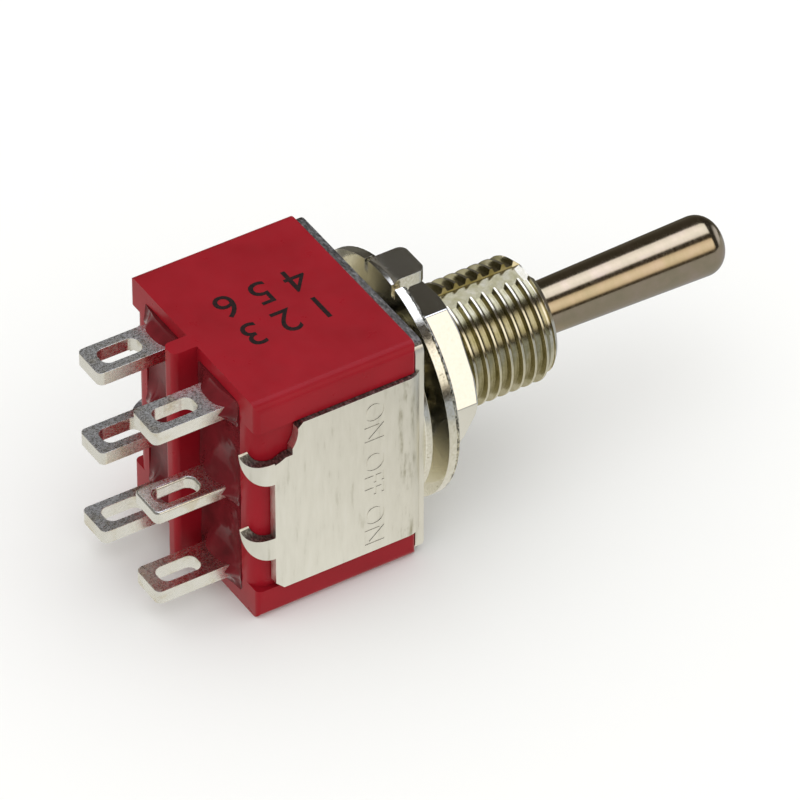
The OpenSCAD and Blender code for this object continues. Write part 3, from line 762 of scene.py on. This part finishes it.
numbers = {"lines": ["1 2 3", "4 5 6"], "x": [-0.95, 1.3], "y": 6.3, "z": -4.5, "size": 2.3, "thick": 0.012,
           "bold": 0.0}
inkLines = []
for words, x in zip(numbers["lines"], numbers["x"]):
    inkLines.append(lettering("ink", words, numbers["size"], spot(x, numbers["y"], numbers["z"]),
                              Vector((0, 1, 0)), Vector((-1, 0, 0)), numbers["thick"], numbers["bold"]))
inkPiece = joinPieces(inkLines, "inkNumbers")
wear(inkPiece, inkFinish)
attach(inkPiece, "switch_body")
print("stage: ink numbers")


# ---------- pieces inside ----------

innerFinishes = {
    "insulator": fibreFinish, "actuator": nylonFinish,
    "plunger_1": plungerFinish, "plunger_2": plungerFinish,
    "plunger_spring_1": springFinish, "plunger_spring_2": springFinish,
    "rocker_1": silverFinish, "rocker_2": silverFinish,
}
for node, finish in innerFinishes.items():
    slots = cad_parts[node].material_slots
    for place in slots:
        place.material = finish
print("stage: inner pieces")


# ---------- studio ----------

studio = {
    "floorZ": -6.3, "floorColour": (0.90, 0.90, 0.89), "tent": (1.16, 1.16, 1.15),
    "cameraBack": (-0.6474, 0.4010, 0.6486), "cameraRight": (-0.527, -0.850, 0.0),
    "distance": 0.3977, "shiftRight": 0.001714, "shiftUp": -0.000823, "lens": 393.4,
    # strips of light above the bench, by angle from +X up towards +Z
    "strips": [(0, (0.08, 0.075, 0.065)), (24, (0.05, 0.045, 0.035)), (50, (0.05, 0.045, 0.038)),
               (55, (0.1, 0.1, 0.1)), (59, (1.4, 1.48, 1.75)), (80, (1.7, 1.82, 2.2)),
               (98, (1.5, 1.6, 1.95)), (104, (1.2, 1.25, 1.4)), (107, (0.05, 0.04, 0.03)),
               (123.5, (0.05, 0.04, 0.03)), (127, (0.98, 0.88, 0.74)), (138, (1.25, 1.18, 1.05)),
               (150, (1.25, 1.19, 1.08)), (163, (1.0, 0.92, 0.76)), (168, (0.4, 0.34, 0.26)),
               (171, (0.05, 0.04, 0.03)), (180, (0.08, 0.07, 0.05))],
    # beyond the strips' ends, along the bench: (y, colour, how far it hides the strips)
    "ends": [(-1, (0.75, 0.78, 0.95), 1), (-0.95, (0.75, 0.78, 0.95), 1), (-0.88, (0.05, 0.05, 0.05), 1),
             (-0.66, (0.035, 0.03, 0.027), 1), (-0.6, (0.035, 0.03, 0.027), 0), (0.02, (0.14, 0.13, 0.12), 0),
             (0.2, (0.14, 0.13, 0.12), 1), (1, (0.2, 0.19, 0.18), 1)],
    # painted reflection, the floor's glow seen in bright metal: its colours along the floor, then the painted dark
    # corner's colour and how far it reaches across and along
    "paintedBench": [(-20, (0.42, 0.44, 0.47)), (-14, (0.40, 0.42, 0.44)), (-10, (0.58, 0.57, 0.51)),
              (-3, (0.70, 0.68, 0.62)), (4, (0.80, 0.79, 0.74)), (15, (0.70, 0.69, 0.65))],
    "paintedBenchDark": (0.11, 0.105, 0.09), "paintedBenchEdge": (5, 11), "paintedBenchSide": (3, -4),
}


def bands(nodes, stops, low, high):
    # a ramp of colours from stops given in their own units between low and high
    ramp = nodes.new("ShaderNodeValToRGB")
    elements = ramp.color_ramp.elements
    while len(elements) < len(stops):
        elements.new(0.5)
    for element, stop in zip(elements, stops):
        element.position = (stop[0] - low) / (high - low)
        element.color = (*stop[1], stop[2] if len(stop) > 2 else 1)
    return ramp


def stageFloor(s):
    clearSelection()
    bpy.ops.mesh.primitive_plane_add(size=4, location=(0, 0, s["floorZ"] * mm))
    floor = bpy.context.object
    floor.name = "paleFloor"
    paper = bpy.data.materials.new("palePaperPaintedReflection")
    paper.use_nodes = True
    nodes = paper.node_tree.nodes
    shader = nodes["Principled BSDF"]
    shader.inputs["Base Color"].default_value = (*s["floorColour"], 1)
    shader.inputs["Roughness"].default_value = 0.9
    shader.inputs["Specular IOR Level"].default_value = 0.1
    # painted reflection: glossy rays see the paper as a glow, graded along Y and darkened towards +X and -Y
    place = nodes.new("ShaderNodeTexCoord")
    split = nodes.new("ShaderNodeSeparateXYZ")
    along = nodes.new("ShaderNodeMapRange")
    along.inputs["From Min"].default_value = s["paintedBench"][0][0] * mm
    along.inputs["From Max"].default_value = s["paintedBench"][-1][0] * mm
    across = nodes.new("ShaderNodeMapRange")
    across.interpolation_type = "SMOOTHSTEP"
    across.inputs["From Min"].default_value = s["paintedBenchEdge"][0] * mm
    across.inputs["From Max"].default_value = s["paintedBenchEdge"][1] * mm
    ahead = nodes.new("ShaderNodeMapRange")
    ahead.interpolation_type = "SMOOTHSTEP"
    ahead.inputs["From Min"].default_value = s["paintedBenchSide"][0] * mm
    ahead.inputs["From Max"].default_value = s["paintedBenchSide"][1] * mm
    corner = nodes.new("ShaderNodeMath")
    corner.operation = "MULTIPLY"
    shade = bands(nodes, s["paintedBench"], s["paintedBench"][0][0], s["paintedBench"][-1][0])
    # the painted reflection darkens towards the +X, -Y corner
    fade = nodes.new("ShaderNodeMixRGB")
    fade.inputs[2].default_value = (*s["paintedBenchDark"], 1)
    glow = nodes.new("ShaderNodeEmission")
    rays = nodes.new("ShaderNodeLightPath")
    blend = nodes.new("ShaderNodeMixShader")
    links = paper.node_tree.links
    links.new(place.outputs["Object"], split.inputs["Vector"])
    links.new(split.outputs["Y"], along.inputs["Value"])
    links.new(split.outputs["X"], across.inputs["Value"])
    links.new(along.outputs["Result"], shade.inputs["Fac"])
    links.new(split.outputs["Y"], ahead.inputs["Value"])
    links.new(across.outputs["Result"], corner.inputs[0])
    links.new(ahead.outputs["Result"], corner.inputs[1])
    links.new(corner.outputs["Value"], fade.inputs["Fac"])
    links.new(shade.outputs["Color"], fade.inputs[1])
    links.new(fade.outputs["Color"], glow.inputs["Color"])
    links.new(rays.outputs["Is Glossy Ray"], blend.inputs["Fac"])
    links.new(shader.outputs["BSDF"], blend.inputs[1])
    links.new(glow.outputs["Emission"], blend.inputs[2])
    links.new(blend.outputs["Shader"], nodes["Material Output"].inputs["Surface"])
    floor.data.materials.append(paper)


def lightTent(s):
    # an even white tent for matt surfaces; bright metal shows its strips of light
    world = bpy.data.worlds.new("lightTent")
    bpy.context.scene.world = world
    world.use_nodes = True
    nodes, links = world.node_tree.nodes, world.node_tree.links
    glow = nodes["Background"]
    toward = nodes.new("ShaderNodeTexCoord")
    split = nodes.new("ShaderNodeSeparateXYZ")
    angle = nodes.new("ShaderNodeMath")
    angle.operation = "ARCTAN2"
    share = nodes.new("ShaderNodeMath")
    share.operation = "DIVIDE"
    share.inputs[1].default_value = math.pi
    height = nodes.new("ShaderNodeMapRange")
    height.inputs["From Min"].default_value = -1
    strips = bands(nodes, s["strips"], 0, 180)
    ends = bands(nodes, s["ends"], -1, 1)
    cover = nodes.new("ShaderNodeMixRGB")
    choose = nodes.new("ShaderNodeMixRGB")
    choose.inputs[1].default_value = (*s["tent"], 1)
    rays = nodes.new("ShaderNodeLightPath")
    links.new(toward.outputs["Generated"], split.inputs["Vector"])
    links.new(split.outputs["Z"], angle.inputs[0])
    links.new(split.outputs["X"], angle.inputs[1])
    links.new(angle.outputs["Value"], share.inputs[0])
    links.new(share.outputs["Value"], strips.inputs["Fac"])
    links.new(split.outputs["Y"], height.inputs["Value"])
    links.new(height.outputs["Result"], ends.inputs["Fac"])
    links.new(ends.outputs["Alpha"], cover.inputs["Fac"])
    links.new(strips.outputs["Color"], cover.inputs[1])
    links.new(ends.outputs["Color"], cover.inputs[2])
    links.new(rays.outputs["Is Glossy Ray"], choose.inputs["Fac"])
    links.new(cover.outputs["Color"], choose.inputs[2])
    links.new(choose.outputs["Color"], glow.inputs["Color"])


stageFloor(studio)
lightTent(studio)

back = Vector(studio["cameraBack"]).normalized()
right = Vector(studio["cameraRight"]).normalized()
up = back.cross(right).normalized()
clearSelection()
bpy.ops.object.camera_add(location=(0, 0, 0))
camera = bpy.context.object
turn = Matrix((right, up, back)).transposed().to_4x4()
turn.translation = back * studio["distance"] + right * studio["shiftRight"] + up * studio["shiftUp"]
camera.matrix_world = turn
camera.data.lens = studio["lens"]
camera.data.sensor_width = 36
camera.data.clip_start = 0.01
camera.data.clip_end = 10
bpy.context.scene.camera = camera
bpy.context.scene.view_settings.view_transform = "Standard"
print("stage: studio")
